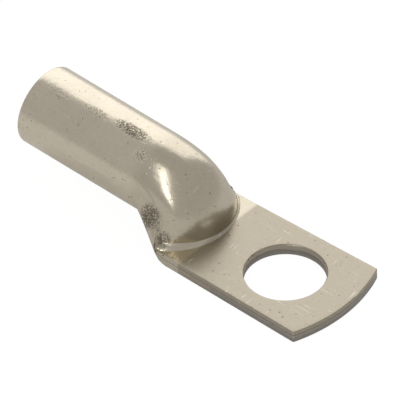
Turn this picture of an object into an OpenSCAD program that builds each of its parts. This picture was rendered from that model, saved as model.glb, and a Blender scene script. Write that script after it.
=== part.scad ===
// Cable lug formed from one length of tube.
// One end stays round and takes the stripped cable. The other end is pressed flat into a
// palm and pierced for a stud. A domed shoulder joins the two.
// Millimetres. The origin is the centre of the stud hole on the seat, the palm's underside.
// +Z points up and +X runs from the barrel to the palm's tip.

/* [Barrel] */
// Outside diameter of the tube
barrel_od = 13.35; // [11:0.05:15]
// Thickness of the tube's wall
wall = 1; // [0.8:0.05:1.3]
// Length of the round barrel, from its mouth to the top of the shoulder
barrel_l = 21.9; // [14:0.1:40]
// Height of the barrel's underside above the seat, at the shoulder
barrel_lift = 1.3; // [0.2:0.05:3]
// Angle at which the barrel rises towards its mouth
barrel_tilt = 2; // [0:0.1:4]
// Radius of the rounded outer edge at the mouth
mouth_round = 0.5; // [0.2:0.05:0.7]
// Width of the chamfer inside the mouth
mouth_chamfer = 0.25; // [0.1:0.05:0.5]

/* [Shoulder] */
// Length of the shoulder, from the top of the barrel to the foot of the dome
shoulder_l = 14.3; // [11:0.1:20]
// Length over which the sides spread, measured back from the foot of the dome
flare_l = 10.6; // [8:0.1:11]
// How far the underside reaches the seat behind the foot of the dome
heel_l = 3; // [2:0.1:4]
// Roundness of the dome, from 2 for an ellipse towards a square profile
dome_power = 2.1; // [1.8:0.05:2.6]
// Radius of the dome's foot, seen from above
foot_r = 9.65; // [9.6:0.05:12]
// Sideways shift of the dome's foot from the middle of the palm
foot_shift = 0.8; // [0:0.1:0.8]
// Radius of the bevel's outer edge, seen from above
bevel_r = 11; // [10.6:0.05:13]
// Width of the bevel at the tip of the dome's foot
bevel_w = 0.5; // [0.3:0.05:0.9]
// Height of the bevel where it meets the dome
bevel_h = 0.25; // [0.1:0.05:0.5]

/* [Palm] */
// Width of the palm across the stud hole
palm_w = 19.5; // [17:0.1:20.5]
// Angle at which each side opens towards the tip
palm_taper = 1.3; // [0:0.1:2]
// Distance from the stud hole to the tip
palm_tip = 12.2; // [9:0.1:18]
// Distance from the stud hole to the bevel
palm_neck = 13.2; // [11:0.1:20]
// Radius of the rounded end
tip_r = 27; // [20:0.5:40]
// Radius of the two end corners
corner_r = 0.5; // [0.3:0.1:2]
// Opening of the seam between the two pressed walls, at the cut edges
seam_w = 0.12; // [0.06:0.02:0.3]
// Depth of that seam
seam_d = 0.15; // [0.1:0.05:0.4]
// Height of that seam above the middle of the palm's thickness
seam_lift = 0.2; // [0:0.05:0.3]

/* [Stud hole] */
// Diameter of the stud hole
stud_hole_d = 13; // [8.4:0.1:14]

/* [Hidden] */

palm_t = 2 * wall;
barrel_r = barrel_od / 2;
bore_r = barrel_r - wall;
axis_z = barrel_lift + barrel_r;
seam_z = palm_t / 2 + seam_lift;

// Stations along the lug, from the tip of the palm back to the mouth
bevel_x = -palm_neck;
foot_x = bevel_x - bevel_w;
heel_x = foot_x - heel_l;
flare_x = foot_x - flare_l;
corner_x = heel_x - 2;
crest_x = foot_x - shoulder_l;

// Half the palm's width at the heel, where its cut sides begin
heel_half_w = palm_w / 2 + heel_x * tan(palm_taper);

// Fibres round the tube and rings along the shoulder
fibres = 80;
rings = 34;
bore_rings = 14;
// Overlap of the shoulder with the barrel and the palm, so that the solids join
lap = 0.6;
// Set-in of the shoulder's first ring from the barrel's surface
nest = 0.01;
// Set-in of the shoulder's flat end from the palm's faces
sink = 0.03;
// Opening left where the bore closes between the two walls
slit = 0.1;

function clamp01(t) = min(max(t, 0), 1);
function smooth(t) = let (u = clamp01(t)) u * u * (3 - 2 * u);
function mix(from, to, t) = from + (to - from) * t;

// A fibre is a line that runs along the tube's wall. Its turn is 0 at the middle of the
// underside, 0.5 at the side and 1 at the middle of the top, on either side of the lug.

// Place of a fibre in the upright section of the round tube at x, as [distance from the
// middle, height]
function round_place(turn, r, x) = [
    r * sin(180 * turn),
    axis_z + (crest_x - x) * tan(barrel_tilt) - r * cos(180 * turn) / cos(barrel_tilt)
];

// Place of a fibre in the tube pressed flat: straight underside, round fold, straight top
function flat_place(turn, half_w, thick) =
    let (
        fold_r = thick / 2,
        run = half_w - fold_r,
        along = turn * (2 * run + PI * fold_r),
        bend = (along - run) / fold_r * 180 / PI
    )
    bend <= 0 ? [along, palm_t / 2 - fold_r]
    : bend < 180 ? [run + fold_r * sin(bend), palm_t / 2 - fold_r * cos(bend)]
    : [2 * run + PI * fold_r - along, palm_t / 2 + fold_r];

// Arc seen from above, with its tip at tip_x and its centre moved sideways by shift
function arc_x(y, tip_x, r, shift) = tip_x - r + sqrt(max(r * r - pow(y - shift, 2), 0.1));

// How much of a fibre belongs to the dome: none below the fold, all above it
function dome_share(turn) = smooth((turn - 0.5) / 0.1);

// Where a fibre leaves the round tube: the top first, the sides last
function start_x(turn) =
    turn < 0.5 ? mix(flare_x - 0.7, flare_x, smooth(2 * turn))
    : mix(flare_x, crest_x, smooth((turn - 0.5) / 0.35));

// Where a fibre lands on the palm: at its corner on the side, at the dome's foot above that
function land_x(turn, y, tip_x, r) =
    turn < 0.5 ? corner_x
    : max(arc_x(y, tip_x, r, foot_shift), mix(corner_x, corner_x + 0.3, dome_share(turn)));

// Where a fibre's outer surface ends: at the foot on the dome, at the heel elsewhere
function last_x(turn, y) = mix(heel_x, land_x(turn, y, foot_x, foot_r), dome_share(turn));

// Height of the underside, which comes down round the heel onto the seat
function rise(x) = barrel_lift * sqrt(1 - pow(clamp01((x - flare_x) / (heel_x - flare_x)), 2));

// Fraction of its way from round to flat that a fibre has gone at x
function fall(turn, from_x, to_x, x) =
    let (
        t = clamp01((x - from_x) / (to_x - from_x)),
        power = mix(1.15, dome_power, smooth((turn - 0.5) / 0.15)),
        bulging = 1 - pow(1 - pow(t, power), 1 / power)
    )
    mix(bulging, smooth(t), smooth((0.4 - turn) / 0.3));

// Point of the shoulder's outer surface, on a fibre with a signed turn
function outer_point(side_turn, along) =
    let (
        side = side_turn < 0 ? -1 : 1,
        turn = abs(side_turn),
        y = side * flat_place(turn, heel_half_w - sink, palm_t)[0],
        x = mix(crest_x - lap, last_x(turn, y), along),
        round_yz = round_place(turn, barrel_r - nest, x),
        low = max(rise(x), sink),
        flat_yz = flat_place(turn, heel_half_w - sink, palm_t - low),
        land = land_x(turn, y, foot_x, foot_r),
        w = fall(turn, start_x(turn), land, x),
        bevel = bevel_h * dome_share(turn) - (bevel_h + sink) * clamp01((x - land) / 0.5)
    )
    [x, side * mix(round_yz.x, flat_yz.x, w),
        mix(round_yz.y, flat_yz.y + low / 2 + bevel * smooth((turn - 0.45) / 0.05), w)];

// Ring beyond the foot, down the bevel and into the palm's plate
function bevel_point(side_turn) =
    let (
        side = side_turn < 0 ? -1 : 1,
        turn = abs(side_turn),
        flat_yz = flat_place(turn, heel_half_w - sink, palm_t - 2 * sink),
        y = side * flat_yz.x,
        share = dome_share(turn),
        foot = last_x(turn, y),
        edge = max(arc_x(y, bevel_x, bevel_r, foot_shift / 2), foot + 0.2),
        x = mix(foot + 1, foot + 2 * (edge - foot), share)
    )
    [x, y * 0.97, mix(palm_t / 2 + (flat_yz.y - palm_t / 2) * 0.6, palm_t - bevel_h, share)];

// Last ring, level and well inside the plate
function buried_point(side_turn) =
    let (
        side = side_turn < 0 ? -1 : 1,
        flat_yz = flat_place(abs(side_turn), heel_half_w - sink, palm_t - 2 * sink)
    )
    [bevel_x + 1.4, side * flat_yz.x * 0.85, palm_t / 2 + (flat_yz.y - palm_t / 2) * 0.4];

// Point of the bore where it narrows under the dome and closes between the walls. Its rings
// are upright, and the last one is a slit.
function inner_point(side_turn, along) =
    let (
        side = side_turn < 0 ? -1 : 1,
        turn = abs(side_turn),
        flat_yz = flat_place(turn, heel_half_w - wall, slit),
        y = side * flat_yz.x,
        x = mix(crest_x - lap, foot_x - wall / 2, along),
        round_yz = round_place(turn, bore_r + nest, x),
        w = fall(turn, start_x(turn), land_x(turn, y, foot_x - wall, foot_r - wall), x),
        lift = rise(x) * mix(1, 0.5, smooth(2 * turn))
    )
    [x, side * mix(round_yz.x, flat_yz.x, w), mix(round_yz.y, flat_yz.y + lift, w)];

// Mean of a ring's points
function centre(ring) = [for (p = ring) 1] * ring / len(ring);

// Shell between an outer and an inner stack of rings. Both start at the same end, where an
// annulus joins them, and each is closed at its far end by a fan from the centre. All rings
// have the same number of points.
module shell(outside, inside) {
    count = len(outside[0]);
    last_out = count * (len(outside) - 1);
    first_in = last_out + count;
    last_in = first_in + count * (len(inside) - 1);
    out_centre = last_in + count;
    in_centre = out_centre + 1;
    polyhedron(
        points = concat(
            [for (ring = concat(outside, inside)) each ring],
            [centre(outside[len(outside) - 1]), centre(inside[len(inside) - 1])]
        ),
        faces = [for (j = [0 : count - 1]) let (k = (j + 1) % count) each [
            [j, first_in + k, first_in + j],
            [j, k, first_in + k],
            for (a = [0 : count : last_out - count]) let (b = a + count) each
                [[a + k, a + j, b + j], [a + k, b + j, b + k]],
            [last_out + k, last_out + j, out_centre],
            for (a = [first_in : count : last_in - count]) let (b = a + count) each
                [[a + j, a + k, b + j], [a + k, b + k, b + j]],
            [last_in + j, last_in + k, in_centre]
        ]],
        convexity = 6
    );
}

// The rings crowd towards the foot, where the dome is steep
function ring_step(i, count) = 1 - pow(1 - i / count, 1.8);

module shoulder() {
    turns = [for (j = [0 : fibres - 1]) -1 + 2 * j / fibres];
    shell(
        [
            for (i = [0 : rings]) [for (turn = turns) outer_point(turn, ring_step(i, rings))],
            [for (turn = turns) bevel_point(turn)],
            [for (turn = turns) buried_point(turn)]
        ],
        [for (i = [0 : bore_rings])
            [for (turn = turns) inner_point(turn, i / bore_rings)]]
    );
}

// Points along an arc, from one angle to another
function arc(centre, r, from, to, steps) =
    [for (i = [0 : steps]) let (a = mix(from, to, i / steps)) centre + r * [cos(a), sin(a)]];

module barrel() {
    translate([crest_x, 0, axis_z])
        rotate([0, barrel_tilt - 90, 0])
            rotate_extrude($fn = 96)
                polygon(concat(
                    [[bore_r, 0], [barrel_r, 0]],
                    arc([barrel_r - mouth_round, barrel_l - mouth_round], mouth_round, 0, 90, 6),
                    [[bore_r + mouth_chamfer, barrel_l], [bore_r, barrel_l - mouth_chamfer]]
                ));
}

// Outline of the palm from its rear edge to the tip, set in by a margin all round
module palm_outline(rear_x, margin) {
    slope = tan(palm_taper);
    half_w = palm_w / 2 - margin / cos(palm_taper);
    centre_x = palm_tip - tip_r;
    round_r = max(corner_r - margin, 0.1);
    reach = tip_r - margin - round_r;
    rest = half_w - round_r / cos(palm_taper);
    back = centre_x - slope * rest;
    round_x = (back + sqrt(back * back - (1 + slope * slope)
        * (centre_x * centre_x + rest * rest - reach * reach))) / (1 + slope * slope);
    round_y = rest + slope * round_x;
    turn_in = atan2(round_y, round_x - centre_x);
    rear_y = half_w + slope * rear_x;
    half = concat(
        [[rear_x, rear_y - 1], [rear_x + 1.5, rear_y + slope]],
        arc([round_x, round_y], round_r, 90 + palm_taper, turn_in, 8),
        [for (i = [1 : 24]) let (a = turn_in * (1 - i / 25))
            [centre_x, 0] + (tip_r - margin) * [cos(a), sin(a)]]
    );
    polygon([for (p = half) [p.x, -p.y], for (i = [len(half) - 1 : -1 : 0]) half[i]]);
}

// One layer of the palm, between two heights
module ply(from_z, to_z, margin) {
    translate([0, 0, from_z])
        linear_extrude(to_z - from_z)
            palm_outline(corner_x + 0.1, margin);
}

// Side view of the palm, whose underside curves up behind the heel
module heel_profile() {
    rotate([90, 0, 0]) {
        translate([heel_x, palm_t])
            cylinder(r = palm_t, h = 2 * palm_w, center = true, $fn = 64);
        linear_extrude(2 * palm_w, center = true)
            translate([heel_x, -palm_t])
                square([palm_tip - heel_x + 1, 3 * palm_t]);
    }
}

// The two pressed walls, with the seam between them open at the cut edges
module palm() {
    difference() {
        intersection() {
            union() {
                ply(0, seam_z - seam_w / 2, 0);
                ply(wall / 4, palm_t - wall / 4, seam_d);
                ply(seam_z + seam_w / 2, palm_t, 0);
            }
            heel_profile();
        }
        translate([0, 0, -1])
            cylinder(d = stud_hole_d, h = palm_t + 2, $fn = 96);
    }
}

module lug() {
    color("tan") {
        barrel();
        shoulder();
        palm();
    }
}

lug();
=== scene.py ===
"""Looks of the cable lug: a formed piece of tinned copper tube, built in the CAD frame.

The shape functions use millimetres, which turn into metres when the mesh is made.
"""

import math

import bpy
import numpy as np
from bpy.props import FloatProperty, FloatVectorProperty, PointerProperty
from bpy.types import Operator, Panel, PropertyGroup
from mathutils import Matrix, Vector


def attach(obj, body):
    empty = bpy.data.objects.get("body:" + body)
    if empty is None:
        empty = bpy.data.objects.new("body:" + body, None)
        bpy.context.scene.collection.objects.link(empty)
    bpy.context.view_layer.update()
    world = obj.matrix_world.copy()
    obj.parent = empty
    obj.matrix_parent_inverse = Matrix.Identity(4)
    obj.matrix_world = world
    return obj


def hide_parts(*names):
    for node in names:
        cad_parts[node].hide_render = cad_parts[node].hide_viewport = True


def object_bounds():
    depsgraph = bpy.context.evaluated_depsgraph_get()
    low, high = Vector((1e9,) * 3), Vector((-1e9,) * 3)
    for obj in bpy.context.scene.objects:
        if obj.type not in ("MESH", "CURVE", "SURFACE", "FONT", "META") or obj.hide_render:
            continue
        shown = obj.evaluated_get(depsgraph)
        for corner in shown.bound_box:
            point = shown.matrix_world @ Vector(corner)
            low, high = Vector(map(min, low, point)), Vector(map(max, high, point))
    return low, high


bl_info = {
    "name": "Cable lug",
    "version": (1, 0, 0),
    "blender": (4, 0, 0),
    "location": "View3D > Sidebar > Cable lug",
    "description": "Builds a tinned copper tube lug and the stage that it stands on",
    "category": "Add Mesh",
}

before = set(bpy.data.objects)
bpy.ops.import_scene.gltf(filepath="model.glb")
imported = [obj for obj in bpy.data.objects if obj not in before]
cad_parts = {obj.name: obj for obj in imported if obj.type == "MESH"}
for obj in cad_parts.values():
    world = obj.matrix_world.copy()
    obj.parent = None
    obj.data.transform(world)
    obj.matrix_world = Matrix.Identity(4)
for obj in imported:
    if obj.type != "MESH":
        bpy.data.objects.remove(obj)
cad_box = [list(corner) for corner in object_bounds()]

# The palm's tip is taken from the CAD frame. All sizes are millimetres.
TIP_X = cad_box[1][0] * 1000

# Tube: its wall, the barrel's outside and inside, and the mouth
WALL = 1.0
BARREL_R = 6.67
BORE_R = BARREL_R - WALL
MOUTH_X = -49.86
MOUTH_ROUND = 0.3
# The barrel's axis: its height where the shoulder starts, and its rise towards the mouth
CREST_X = -28.0
AXIS_Z = 7.975
TILT = math.tan(math.radians(2.0))

# Palm: two walls thick, with cut sides that open towards a round tip, and the stud hole
PALM_T = 2 * WALL
HEEL_X = -16.7
CORNER_X = -18.9
HALF_W = 9.75
TAPER = math.tan(math.radians(1.3))
TIP_R = 27.0
HOLE_R = 6.5
SEAM_Z = 1.19

# Shoulder: circles round the dome's foot and the bevel's outer edge, seen from above, the
# bevel's slope, half the width of the tube pressed flat, and the dome's roundness
FOOT_C = (-23.3, 0.83)
FOOT_R = 9.65
BEVEL_C = (-24.2, 0.33)
BEVEL_R = 11.0
BEVEL_SLOPE = 0.45
FOLD_W = 10.05
DOME_POWER = 2.1

# Middle of the lug, in metres, which the lamps face
LUG_MIDDLE = np.array([-0.018, 0, 0.005])


def clamp01(t):
    return np.clip(t, 0, 1)


def smooth(t):
    """Smooth step from 0 to 1: three t squared less two t cubed."""
    t = clamp01(t)
    return t * t * (3 - 2 * t)


def mix(a, b, t):
    return a + (b - a) * t


# ---------------------------------------------------------------- shapes


def flat_place(turn, half_w, thick):
    """Place of a fibre in the tube pressed flat, as distance from the middle and height.

    The half outline is a straight underside, a half circle round the fold and a straight top,
    and turn is the share of its length gone from the middle of the underside.
    """
    fold = thick / 2
    run = half_w - fold
    along = turn * (2 * run + math.pi * fold)
    bend = np.clip((along - run) / fold, 0, math.pi)
    y = np.where(along < run, along, run + fold * np.sin(bend))
    y = np.where(along > run + math.pi * fold, 2 * run + math.pi * fold - along, y)
    return y, fold - fold * np.cos(bend)


def foot_x(y):
    """The foot of the dome seen from above: a circle round FOOT_C, cut off at the corners."""
    u = y - FOOT_C[1]
    return FOOT_C[0] + np.sqrt(np.maximum(FOOT_R**2 - u * u, 0.05))


def bevel_x(y):
    """The bevel's outer edge seen from above: a circle round BEVEL_C."""
    u = y - BEVEL_C[1]
    return BEVEL_C[0] + np.sqrt(np.maximum(BEVEL_R**2 - u * u, 0.05))


def bevel_z(x, y):
    """A cone whose middle is BEVEL_C and which falls to the palm's top at BEVEL_R."""
    return PALM_T + BEVEL_SLOPE * np.maximum(
        BEVEL_R - np.hypot(x - BEVEL_C[0], y - BEVEL_C[1]), 0
    )


def half_width(x):
    """Half the palm's width at x: its cut sides open at the taper's angle."""
    return HALF_W + TAPER * x


def round_place(turn, x, r):
    """Place of a fibre in the round tube, whose axis rises towards the mouth."""
    height = AXIS_Z - TILT * (x - CREST_X)
    return r * np.sin(math.pi * turn), height - r * np.cos(math.pi * turn)


def shoulder_point(turn, along):
    """Outer surface between the barrel and the palm.

    A fibre keeps its place round the tube, its turn from -1 to 1 with 0 at the middle of the
    underside. It leaves the round tube at one x, lands in the flattened section at another,
    and goes from one to the other by a share that is an ellipse's quadrant over the dome, a
    cube in the wall below it and nearly even in the fold and the underside.
    """
    side = np.where(turn < 0, -1.0, 1.0)
    a = np.abs(turn)
    flat_y, flat_z = flat_place(a, FOLD_W, PALM_T)
    dome = smooth((a - 0.58) / 0.14)
    upper = smooth((a - 0.46) / 0.07)
    land_top = np.maximum(foot_x(side * flat_y), CORNER_X)
    land_low = mix(HEEL_X, HEEL_X - 1.2, smooth(a / 0.35))
    land = mix(land_low, land_top, upper)
    start_low = mix(-25.0, -25.8, smooth(a / 0.4))
    start_top = mix(-24.6, CREST_X, smooth((a - 0.5) / 0.35))
    start = mix(start_low, start_top, upper)
    last = mix(np.full_like(a, HEEL_X + 0.5), land_top, smooth((a - 0.5) / 0.1))
    x = mix(CREST_X - 0.5 - TILT * BARREL_R * np.cos(math.pi * a), last, along)
    round_y, round_z = round_place(a, x, BARREL_R)
    t = clamp01((x - start) / (land - start))
    bulge = 1 - (1 - t**DOME_POWER) ** (1 / DOME_POWER)
    w_low = mix(smooth(t), t**1.1, smooth((a - 0.1) / 0.25))
    w_wall = t**3
    w_z = mix(w_low, mix(w_wall, bulge, dome), upper)
    w_y = mix(w_low, mix(w_wall**1.6, bulge, dome), upper)
    top_z = bevel_z(x, side * flat_y)
    low = (AXIS_Z - BARREL_R) * np.sqrt(
        1 - clamp01((x + 24.3) / (HEEL_X + 24.3)) ** 2
    )
    flat_z = mix(flat_z + low / 2, top_z, smooth((a - 0.53) / 0.03))
    y = mix(round_y, flat_y, w_y)
    z = mix(round_z, flat_z, w_z)
    z = z - 0.3 * smooth((a - 0.5) / 0.02) * smooth((x - land_top - 0.02) / 0.3)
    y = np.minimum(y, half_width(x) - 0.01)
    return np.stack([x, side * y, z], -1)


def grid_faces(rows, cols, first=0, flip=False):
    """Quads between neighbouring rows of points, closed round each row."""
    r, c = np.meshgrid(np.arange(rows - 1), np.arange(cols), indexing="ij")
    a = first + r * cols + c
    b = first + r * cols + (c + 1) % cols
    quads = np.stack([a, b, b + cols, a + cols], -1).reshape(-1, 4)
    return quads[:, ::-1] if flip else quads


def tube_rings(turns):
    """Rings of the tube's skin: mouth, barrel and shoulder outside, then the bore inside.

    Outside, the shoulder's last ring is carried down the bevel and into the palm. Inside,
    each fibre leaves the bore and meets the palm's middle by a circle's quadrant.
    """

    def circle(x, r):
        place = x - TILT * r * np.cos(math.pi * turns)
        y, z = round_place(turns, place, r)
        return np.stack([place, y, z], -1)

    start = CREST_X - 0.5
    lip = [
        circle(
            MOUTH_X + MOUTH_ROUND * (1 - math.cos(b)),
            BARREL_R - MOUTH_ROUND * (1 - math.sin(b)),
        )
        for b in np.radians([0, 20, 40, 60, 80])
    ]
    straight = [circle(x, BARREL_R) for x in np.linspace(MOUTH_X + 0.5, start - 0.2, 50)]
    along = 1 - (1 - np.linspace(0, 1, 190)) ** 1.6
    shoulder = shoulder_point(turns[None, :], along[:, None])
    end = shoulder[-1]
    a = np.abs(turns)
    side = np.where(turns < 0, -1.0, 1.0)
    top = smooth((a - 0.5) / 0.1)
    out_x = mix(end[:, 0] + 0.2, np.maximum(bevel_x(end[:, 1]), end[:, 0] + 0.03), top)
    out = np.stack([out_x, end[:, 1], mix(end[:, 2], PALM_T + 0.003, top)], -1)
    mid = mix(end, out, 0.5)
    mid[:, 2] = mix(mid[:, 2], bevel_z(mid[:, 0], mid[:, 1]), top)
    drop = np.stack([out_x + 0.02, out[:, 1] * 0.99, mix(out[:, 2], PALM_T - 0.3, top)], -1)
    sunk = np.stack(
        [np.full_like(turns, -12.6), out[:, 1] * 0.9, 1 + (drop[:, 2] - 1) * 0.5], -1
    )
    inner_flat_y, inner_flat_z = flat_place(a, FOLD_W - 2 * WALL, 0.1)
    leave = mix(-25.6, CREST_X, smooth((a - 0.5) / 0.35))
    meet = np.maximum(foot_x(side * inner_flat_y) - 2.2, -20.6)
    meet = mix(-20.6, meet, smooth((a - 0.55) / 0.15))
    inner = []
    for x in np.linspace(-15.6, start, 60):
        t = clamp01((x - leave) / (meet - leave))
        w = 1 - np.sqrt(1 - t**2)
        by, bz = round_place(a, x, BORE_R)
        iy = mix(by, inner_flat_y, w)
        iz = mix(bz, inner_flat_z + 0.95, w)
        inner.append(np.stack([np.full_like(turns, x), side * iy, iz], -1))
    bore = [circle(x, BORE_R) for x in np.linspace(start - 0.8, MOUTH_X + 0.6, 10)]
    mouth = [
        circle(MOUTH_X + 0.25, BORE_R),
        circle(MOUTH_X + 0.08, BORE_R + 0.12),
        circle(MOUTH_X, BORE_R + 0.25),
    ]
    rings = np.stack(lip + straight + list(shoulder) + [mid, out, drop, sunk], 0)
    inside = np.stack(inner + bore + mouth, 0)
    return rings, inside


def palm_outline(steps, inset):
    """Outline of the palm seen round the stud hole, one point for each direction.

    Each direction's ray is followed to the nearest of the two cut sides, the round tip and
    the rear edge, all moved inwards by inset.
    """
    c, s = np.cos(steps), np.sin(steps)
    tiny = 1e-9
    slope = 1 / math.cos(math.radians(1.3))
    side = (HALF_W - inset * slope) / np.maximum(np.abs(s) - TAPER * c, tiny)
    rear = np.where(c < 0, (-CORNER_X - 0.1 - inset) / np.maximum(-c, tiny), 1e9)
    cx = TIP_X - TIP_R
    r = TIP_R - inset
    b = -cx * c
    tip = -b + np.sqrt(np.maximum(b * b - cx * cx + r * r, 0))
    reach = np.stack([side, rear, tip], 0)
    # A soft minimum rounds the corners
    k = 18.0
    low = reach.min(0)
    d = low - np.log(np.exp(-k * np.minimum(reach - low, 5)).sum(0)) / k
    return d * c, d * s


def palm_mesh(count=480):
    """Flat palm with its hole, as rings carried from the hole out and round the side."""
    steps = np.linspace(0, 2 * math.pi, count, endpoint=False)
    c, s = np.cos(steps), np.sin(steps)

    def hole(r, z):
        return np.stack([r * c, r * s, np.full(count, z)], -1)

    def rim(inset, z):
        x, y = palm_outline(steps, inset)
        floor = PALM_T - np.sqrt(
            PALM_T**2 - np.clip(HEEL_X - x, 0, PALM_T - 0.01) ** 2
        )
        return np.stack([x, y, floor + z * (1 - floor / PALM_T)], -1)

    top = PALM_T
    rings = []
    # Wall of the hole from the underside up
    for inset, z in (
        (0.14, 0.0), (0.05, 0.04), (0.0, 0.14), (0.0, 0.5), (0.0, 0.98),
        (-0.05, 1.02), (-0.05, 1.06), (0.02, 1.12), (0.02, 1.6),
        (0.03, top - 0.16), (0.08, top - 0.06), (0.2, top - 0.01), (0.34, top),
    ):
        rings.append(hole(HOLE_R + inset, z))
    inner = hole(HOLE_R + 0.34, top)
    outer = rim(0.3, top)
    for k in np.linspace(0, 1, 9)[1:-1]:
        rings.append(mix(inner, outer, k))
    # Down the cut side, past the groove of the seam
    for inset, z in (
        (0.3, top), (0.12, top - 0.02), (0.03, top - 0.08), (0.0, top - 0.2),
        (0.0, 1.27), (0.04, 1.24), (0.09, 1.2), (0.04, 1.14), (0.01, 1.1),
        (0.0, 0.6), (0.0, 0.2), (0.05, 0.06), (0.16, 0.0),
    ):
        rings.append(rim(inset, z))
    last, first = rim(0.3, 0.0), hole(HOLE_R + 0.3, 0.0)
    for k in np.linspace(0, 1, 7)[:-1]:
        rings.append(mix(last, first, k))
    rings = np.stack(rings, 0)
    rows = rings.shape[0]
    points = rings.reshape(-1, 3)
    faces = grid_faces(rows, count)
    close = grid_faces(2, count)
    wrap = np.where(close < count, close + (rows - 1) * count, close - count)
    return points, np.concatenate([faces, wrap])


def lug_mesh(fibres=240):
    """The tube's skin and the palm as one list of points with quads and triangles."""
    turns = -1 + 2 * (np.arange(fibres) + 0.5) / fibres
    outside, inside = tube_rings(turns)
    rings = np.concatenate([outside, inside], 0)
    n_out, n_all = outside.shape[0], rings.shape[0]
    poles = np.stack([outside[-1].mean(0), inside[0].mean(0)])
    tube = np.concatenate([rings.reshape(-1, 3), poles])
    j = np.arange(fibres)
    k = (j + 1) % fibres
    last_out, first_in, end = (n_out - 1) * fibres, n_out * fibres, (n_all - 1) * fibres
    pole = n_all * fibres
    quads = [
        grid_faces(n_out, fibres, 0, True),
        grid_faces(n_all - n_out, fibres, first_in, True),
        np.stack([end + j, j, k, end + k], -1)[:, ::-1],
    ]
    fans = np.concatenate([
        np.stack([last_out + k, last_out + j, np.full_like(j, pole)], -1),
        np.stack([first_in + j, first_in + k, np.full_like(j, pole + 1)], -1),
    ])
    palm_points, palm_quads = palm_mesh()
    quads.append(palm_quads + len(tube))
    return np.concatenate([tube, palm_points]), np.concatenate(quads), fans


# ---------------------------------------------------------------- materials


class Sock:
    """A node socket that takes part in Python arithmetic by adding Math nodes."""

    def __init__(self, tree, socket=None):
        self.tree, self.socket = tree, socket

    def node(self, kind, settings=None, inputs=(), output=0):
        """Add any node: its type, its settings, then values or links for its sockets."""
        new = self.tree.nodes.new(kind)
        for key, value in (settings or {}).items():
            setattr(new, key, value)
        pairs = inputs.items() if isinstance(inputs, dict) else enumerate(inputs)
        for key, value in pairs:
            if isinstance(value, Sock):
                self.tree.links.new(value.socket, new.inputs[key])
            elif value is not None:
                new.inputs[key].default_value = value
        return Sock(self.tree, new.outputs[output] if len(new.outputs) else None)

    def math(self, operation, *values):
        return self.node("ShaderNodeMath", {"operation": operation}, values)

    def __add__(self, other):
        return self.math("ADD", self, other)

    __radd__ = __add__

    def __sub__(self, other):
        return self.math("SUBTRACT", self, other)

    def __rsub__(self, other):
        return self.math("SUBTRACT", other, self)

    def __mul__(self, other):
        return self.math("MULTIPLY", self, other)

    __rmul__ = __mul__

    def __truediv__(self, other):
        return self.math("DIVIDE", self, other)

    def __rtruediv__(self, other):
        return self.math("DIVIDE", other, self)

    def __pow__(self, other):
        return self.math("POWER", self, other)

    def step(self, low, high):
        """Smooth step of this value from low to high."""
        return self.node(
            "ShaderNodeMapRange", {"interpolation_type": "SMOOTHSTEP"}, (self, low, high, 0.0, 1.0)
        )

    def least(self, other):
        return self.math("MINIMUM", self, other)

    def most(self, other):
        return self.math("MAXIMUM", self, other)


def new_tree(name):
    mat = bpy.data.materials.new(name)
    mat.use_nodes = True
    mat.node_tree.nodes.clear()
    return mat, Sock(mat.node_tree)


def blend(tree, share, low, high):
    """Mix of two colours by a share."""
    return tree.node(
        "ShaderNodeMix", {"data_type": "RGBA"}, {0: share, 6: low, 7: high}, output=2
    )


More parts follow.
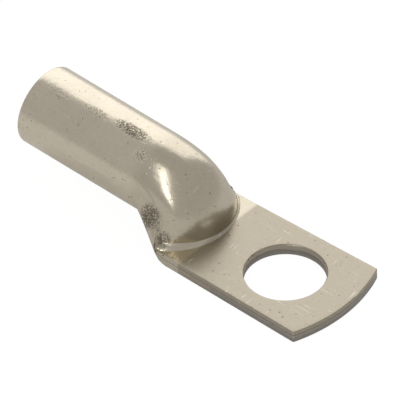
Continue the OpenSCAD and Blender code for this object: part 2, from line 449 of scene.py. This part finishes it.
def tin_material(look):
    """Satin tin plate: mottled colour, a darker tone on the palm and the dome, fine scratches,
    pitted patches, painted shade in the folds beside the dome, a painted shadow line along the top
    edge of the cut sides, and bright specks.
    """
    mat, tree = new_tree("Tinned copper")
    place = tree.node("ShaderNodeTexCoord", output=3)
    parts = tree.node("ShaderNodeSeparateXYZ", None, (place,)).socket.node
    x, y, z = (Sock(tree.tree, parts.outputs[i]) * 1000 for i in range(3))

    def noise(scale, detail=2.0, rough=0.5, stretch=None):
        vector = place
        if stretch:
            vector = tree.node(
                "ShaderNodeVectorMath", {"operation": "MULTIPLY"}, (place, stretch)
            )
        return tree.node(
            "ShaderNodeTexNoise", None,
            {"Vector": vector, "Scale": scale, "Detail": detail, "Roughness": rough},
        )

    def spot(cx, cy, cz, rx, ry, rz):
        """1 in the middle of an ellipsoid, falling to 0 at its edge."""
        far = ((x - cx) / rx) ** 2 + ((y - cy) / ry) ** 2 + ((z - cz) / rz) ** 2
        return 1 - far.step(0.2, 1.0)

    cloud = noise(260.0, 3.0, 0.6)
    mottle = noise(1400.0, 4.0, 0.65)
    grain = noise(5200.0, 2.0, 0.6)
    rub = noise(420.0, 5.0, 0.7, (0.25, 1.0, 1.0))
    hair = noise(900.0, 2.0, 0.5, (0.12, 2.2, 2.2))
    hair_across = noise(800.0, 2.0, 0.5, (2.0, 0.25, 1.0))

    palm = x.step(-14.5, -13.6)
    hole_wall = 1 - (x * x + y * y).math("SQRT").step(6.52, 6.56)
    dome = x.step(-27.5, -24.0) * (1 - palm)

    # Darker tone of the palm and the dome against the barrel
    colour = blend(tree, cloud.step(0.3, 0.7), (*look.tin_color, 1), (*look.tin_light, 1))
    colour = blend(tree, palm * look.palm_darkening, colour, (*look.palm_color, 1))
    colour = blend(tree, dome * look.dome_darkening, colour, (*look.dome_color, 1))
    colour = blend(tree, mottle.step(0.5, 0.8) * 0.3, colour, (0.42, 0.37, 0.29, 1))

    # Pits along the barrel's shoulder line and in the folds beside the dome; the patches in the
    # folds are also painted shade, darkening the valley where shade falls
    pits_and_valley_shade_at = (
        spot(-30.5, -1.0, 14.3, 4.6, 1.5, 3.0) * 1.0
        + spot(-37.5, -1.5, 14.3, 3.5, 1.0, 3.0) * 0.55
        + spot(-45.0, -2.0, 14.5, 3.0, 1.0, 3.0) * 0.45
        + spot(-21.5, -7.0, 5.5, 2.6, 1.6, 3.6) * 1.0
        + spot(-18.6, -7.4, 3.2, 1.4, 1.5, 1.8) * 0.9
        + spot(-26.5, -3.4, 13.0, 1.6, 1.4, 1.6) * 0.6
    ).least(1.0)
    pit_noise = noise(3400.0, 3.0, 0.7)
    pits_and_valley_shade = (pit_noise - 0.44 + pits_and_valley_shade_at * 0.1).step(0.08, 0.16) * pits_and_valley_shade_at
    stray = noise(1900.0, 1.0, 0.5).step(0.72, 0.76) * 0.6
    dark = (pits_and_valley_shade * look.pit_and_shade_depth + stray).least(1.0)
    colour = blend(tree, dark, colour, (0.13, 0.105, 0.075, 1))

    scratches = (hair.step(0.66, 0.7) + hair_across.step(0.68, 0.72)).least(1.0)
    specks = noise(3100.0, 1.0, 0.5).step(0.73, 0.77)
    bright = (scratches * 0.45 + specks * 0.6).least(1.0)
    colour = blend(tree, bright * 0.6, colour, (0.93, 0.87, 0.76, 1))

    # The cut sides show the two pressed walls: a dark seam and a cooler lower wall
    cut = (y.math("ABSOLUTE") - (x * TAPER + (HALF_W - 0.12))).step(0.0, 0.06)
    cut = cut * x.step(-19.5, -18.8)
    tip = ((x - (TIP_X - TIP_R)) ** 2 + y * y).math("SQRT")
    cut = cut.most(tip.step(TIP_R - 0.14, TIP_R - 0.08))
    cut = cut.most(hole_wall * x.step(-7.5, -7.0))
    under = 1 - z.step(1.05, 1.2)
    colour = blend(tree, cut * under * 0.55, colour, (0.3, 0.29, 0.29, 1))
    seam = cut * (1 - (z - SEAM_Z).math("ABSOLUTE").step(0.03, 0.1))
    colour = blend(tree, seam * 0.9, colour, (0.05, 0.045, 0.04, 1))

    # Painted shadow: a dark line along the top edge of the cut sides, standing in for the shadow
    # at the edge's burr
    side_gap = (x * TAPER + HALF_W) - y.math("ABSOLUTE")
    gap = side_gap.least(TIP_R - tip)
    burr_shadow_line = (1 - (gap - 0.16).math("ABSOLUTE").step(0.05, 0.16)) * z.step(1.8, 1.9) * palm
    colour = blend(tree, burr_shadow_line * 0.6, colour, (0.13, 0.11, 0.085, 1))

    rough = look.tin_roughness + mottle * 0.1 + palm * 0.08 + dark * 0.25 - bright * 0.08
    height = rub * 0.5 + mottle * 0.35 + grain * 0.15 - dark * 0.9 - scratches * 0.12
    bump = tree.node(
        "ShaderNodeBump", None,
        {"Strength": look.bump, "Distance": 0.0002, "Height": height},
    )
    metal = tree.node(
        "ShaderNodeBsdfPrincipled", None,
        {"Base Color": colour, "Metallic": 1.0, "Roughness": rough, "Normal": bump},
    )
    tree.node("ShaderNodeOutputMaterial", None, {"Surface": metal})
    return mat


# ---------------------------------------------------------------- pieces and stage


class LugLook(PropertyGroup):
    tin_color: FloatVectorProperty(
        name="Tin colour",
        description="Colour of the tin plate",
        subtype="COLOR",
        default=(0.72, 0.65, 0.53),
        min=0,
        max=1,
    )
    tin_light: FloatVectorProperty(
        name="Light tin",
        description="Colour of the tin plate where it is cleanest",
        subtype="COLOR",
        default=(0.76, 0.69, 0.56),
        min=0,
        max=1,
    )
    # Darker colour given to the palm
    palm_color: FloatVectorProperty(
        name="Palm colour",
        description="Colour of the tin plate rubbed dull on the palm",
        subtype="COLOR",
        default=(0.41, 0.365, 0.29),
        min=0,
        max=1,
    )
    palm_darkening: FloatProperty(
        name="Palm dulling",
        description="How far the palm takes its own colour",
        default=0.9,
        min=0,
        max=1,
        subtype="FACTOR",
    )
    # Darker colour given to the dome
    dome_color: FloatVectorProperty(
        name="Dome colour",
        description="Colour of the tin plate rubbed dull on the dome",
        subtype="COLOR",
        default=(0.6, 0.54, 0.43),
        min=0,
        max=1,
    )
    dome_darkening: FloatProperty(
        name="Dome dulling",
        description="How far the dome takes its own colour",
        default=0.7,
        min=0,
        max=1,
        subtype="FACTOR",
    )
    # Darkness of the pits, which also sets the painted shade in the folds beside the dome
    pit_and_shade_depth: FloatProperty(
        name="Pit darkness",
        description="How dark the pitted patches are",
        default=0.8,
        min=0,
        max=1,
        subtype="FACTOR",
    )
    bump: FloatProperty(
        name="Surface relief",
        description="Strength of the fine relief of scratches, mottling and pits",
        default=0.25,
        min=0,
        max=1,
        subtype="FACTOR",
    )
    tin_roughness: FloatProperty(
        name="Tin roughness",
        description="Roughness of the plate where it is clean",
        default=0.17,
        min=0.05,
        max=1,
        subtype="FACTOR",
    )


def add_object(name, points, faces):
    """A smooth mesh object at the origin from points in millimetres and lists of faces."""
    mesh = bpy.data.meshes.new(name)
    mesh.from_pydata((points * 0.001).tolist(), [], [f for part in faces for f in part.tolist()])
    mesh.polygons.foreach_set("use_smooth", np.ones(len(mesh.polygons), bool))
    mesh.update()
    obj = bpy.data.objects.new(name, mesh)
    bpy.context.scene.collection.objects.link(obj)
    return obj


class LUG_OT_lug(Operator):
    """Build the lug's skin: tube, shoulder and pierced palm."""

    bl_idname = "cable_lug.lug"
    bl_label = "Lug"

    def execute(self, context):
        points, quads, fans = lug_mesh()
        obj = add_object("lug_skin", points, (quads, fans))
        obj.data.materials.append(tin_material(context.scene.lug_look))
        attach(obj, "root")
        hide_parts("lug")
        return {"FINISHED"}


class LUG_OT_stage(Operator):
    """Build the pale floor, the studio lamps and the camera."""

    bl_idname = "cable_lug.stage"
    bl_label = "Stage"

    def execute(self, context):
        scene = context.scene
        scene.view_settings.view_transform = "Standard"
        build_world(scene)
        build_floor()
        build_lamps()
        build_camera(scene)
        return {"FINISHED"}


def build_world(scene):
    """A soft studio level, which turns white where the camera meets the backdrop and takes a tenth
    share of white for glossy rays.
    """
    world = bpy.data.worlds.new("Studio")
    world.use_nodes = True
    world.node_tree.nodes.clear()
    tree = Sock(world.node_tree)
    soft = tree.node("ShaderNodeBackground", None, ((1, 0.985, 0.96, 1), 0.42))
    white = tree.node("ShaderNodeBackground", None, ((1, 1, 1, 1), 1.0))
    seen = tree.node("ShaderNodeLightPath")
    glossy = Sock(tree.tree, seen.socket.node.outputs["Is Glossy Ray"])
    both = tree.node("ShaderNodeMixShader", None, (seen + glossy * 0.1, soft, white))
    tree.node("ShaderNodeOutputWorld", None, {"Surface": both})
    scene.world = world


def build_floor():
    size = 3.0
    corners = [(-size, -size), (size, -size), (size, size), (-size, size)]
    mesh = bpy.data.meshes.new("floor")
    mesh.from_pydata([(cx, cy, -2e-5) for cx, cy in corners], [], [(0, 1, 2, 3)])
    obj = bpy.data.objects.new("floor", mesh)
    bpy.context.scene.collection.objects.link(obj)
    mat, tree = new_tree("Pale floor")
    diffuse = tree.node("ShaderNodeBsdfDiffuse", None, {"Color": (0.9, 0.9, 0.9, 1)})
    glow = tree.node("ShaderNodeEmission", None, {"Color": (1, 1, 1, 1), "Strength": 1.08})
    seen = tree.node("ShaderNodeLightPath")
    glossy = Sock(tree.tree, seen.socket.node.outputs["Is Glossy Ray"])
    both = tree.node("ShaderNodeMixShader", None, (seen * 0.88 + glossy * 0.1, diffuse, glow))
    tree.node("ShaderNodeOutputMaterial", None, {"Surface": both})
    mesh.materials.append(mat)


def add_panel(name, direction, distance, width, height, strength, twist=0.0):
    """A soft lamp that stands off the lug in one direction and faces it."""
    d = np.array(direction, float)
    d /= np.linalg.norm(d)
    lamp = bpy.data.lights.new(name, "AREA")
    lamp.shape = "RECTANGLE"
    lamp.size, lamp.size_y = width, height
    lamp.energy = strength * math.pi * width * height
    obj = bpy.data.objects.new(name, lamp)
    x = np.cross([0, 0, 1.0], d)
    x /= np.linalg.norm(x)
    y = np.cross(d, x)
    ct, st = math.cos(twist), math.sin(twist)
    x, y = x * ct + y * st, y * ct - x * st
    m = np.eye(4)
    m[:3, 0], m[:3, 1], m[:3, 2] = x, y, d
    m[:3, 3] = LUG_MIDDLE + d * distance
    obj.matrix_world = Matrix(m.tolist())
    bpy.context.scene.collection.objects.link(obj)


def build_lamps():
    """A broad panel behind the lug's far side, and a narrow strip leaning over the near side."""
    add_panel("side_panel", (-0.52, 0.78, 0.34), 0.7, 0.8, 1.08, 0.88)
    add_panel("strip_panel", (0.19, -0.68, 0.65), 0.6, 0.1, 0.62, 3.0, 0.273)


def build_camera(scene):
    """A long lens on the line of sight, rolled and shifted off the hole as framed."""
    right = np.array([0.75116, 0.66002, -0.01173])
    up = np.array([-0.42452, 0.49659, 0.75709])
    back = np.array([0.50552, -0.56371, 0.65321])
    data = bpy.data.cameras.new("camera")
    data.sensor_width = 36
    data.lens = 1158.7
    data.clip_start, data.clip_end = 0.1, 10
    obj = bpy.data.objects.new("camera", data)
    m = np.eye(4)
    m[:3, 0], m[:3, 1], m[:3, 2] = right, up, back
    m[:3, 3] = -0.013267 * right + 0.012741 * up + 2.0 * back
    obj.matrix_world = Matrix(m.tolist())
    scene.collection.objects.link(obj)
    scene.camera = obj


class LUG_PT_panel(Panel):
    bl_label = "Cable lug"
    bl_idname = "LUG_PT_panel"
    bl_space_type = "VIEW_3D"
    bl_region_type = "UI"
    bl_category = "Cable lug"

    def draw(self, context):
        look = context.scene.lug_look
        for key in look.__annotations__:
            self.layout.prop(look, key)
        for op in (LUG_OT_lug, LUG_OT_stage):
            self.layout.operator(op.bl_idname)


CLASSES = (LugLook, LUG_OT_lug, LUG_OT_stage, LUG_PT_panel)


def register():
    for cls in CLASSES:
        bpy.utils.register_class(cls)
    bpy.types.Scene.lug_look = PointerProperty(type=LugLook)


def unregister():
    del bpy.types.Scene.lug_look
    for cls in reversed(CLASSES):
        bpy.utils.unregister_class(cls)


def main():
    register()
    bpy.ops.cable_lug.lug()
    bpy.ops.cable_lug.stage()


if __name__ == "__main__":
    main()
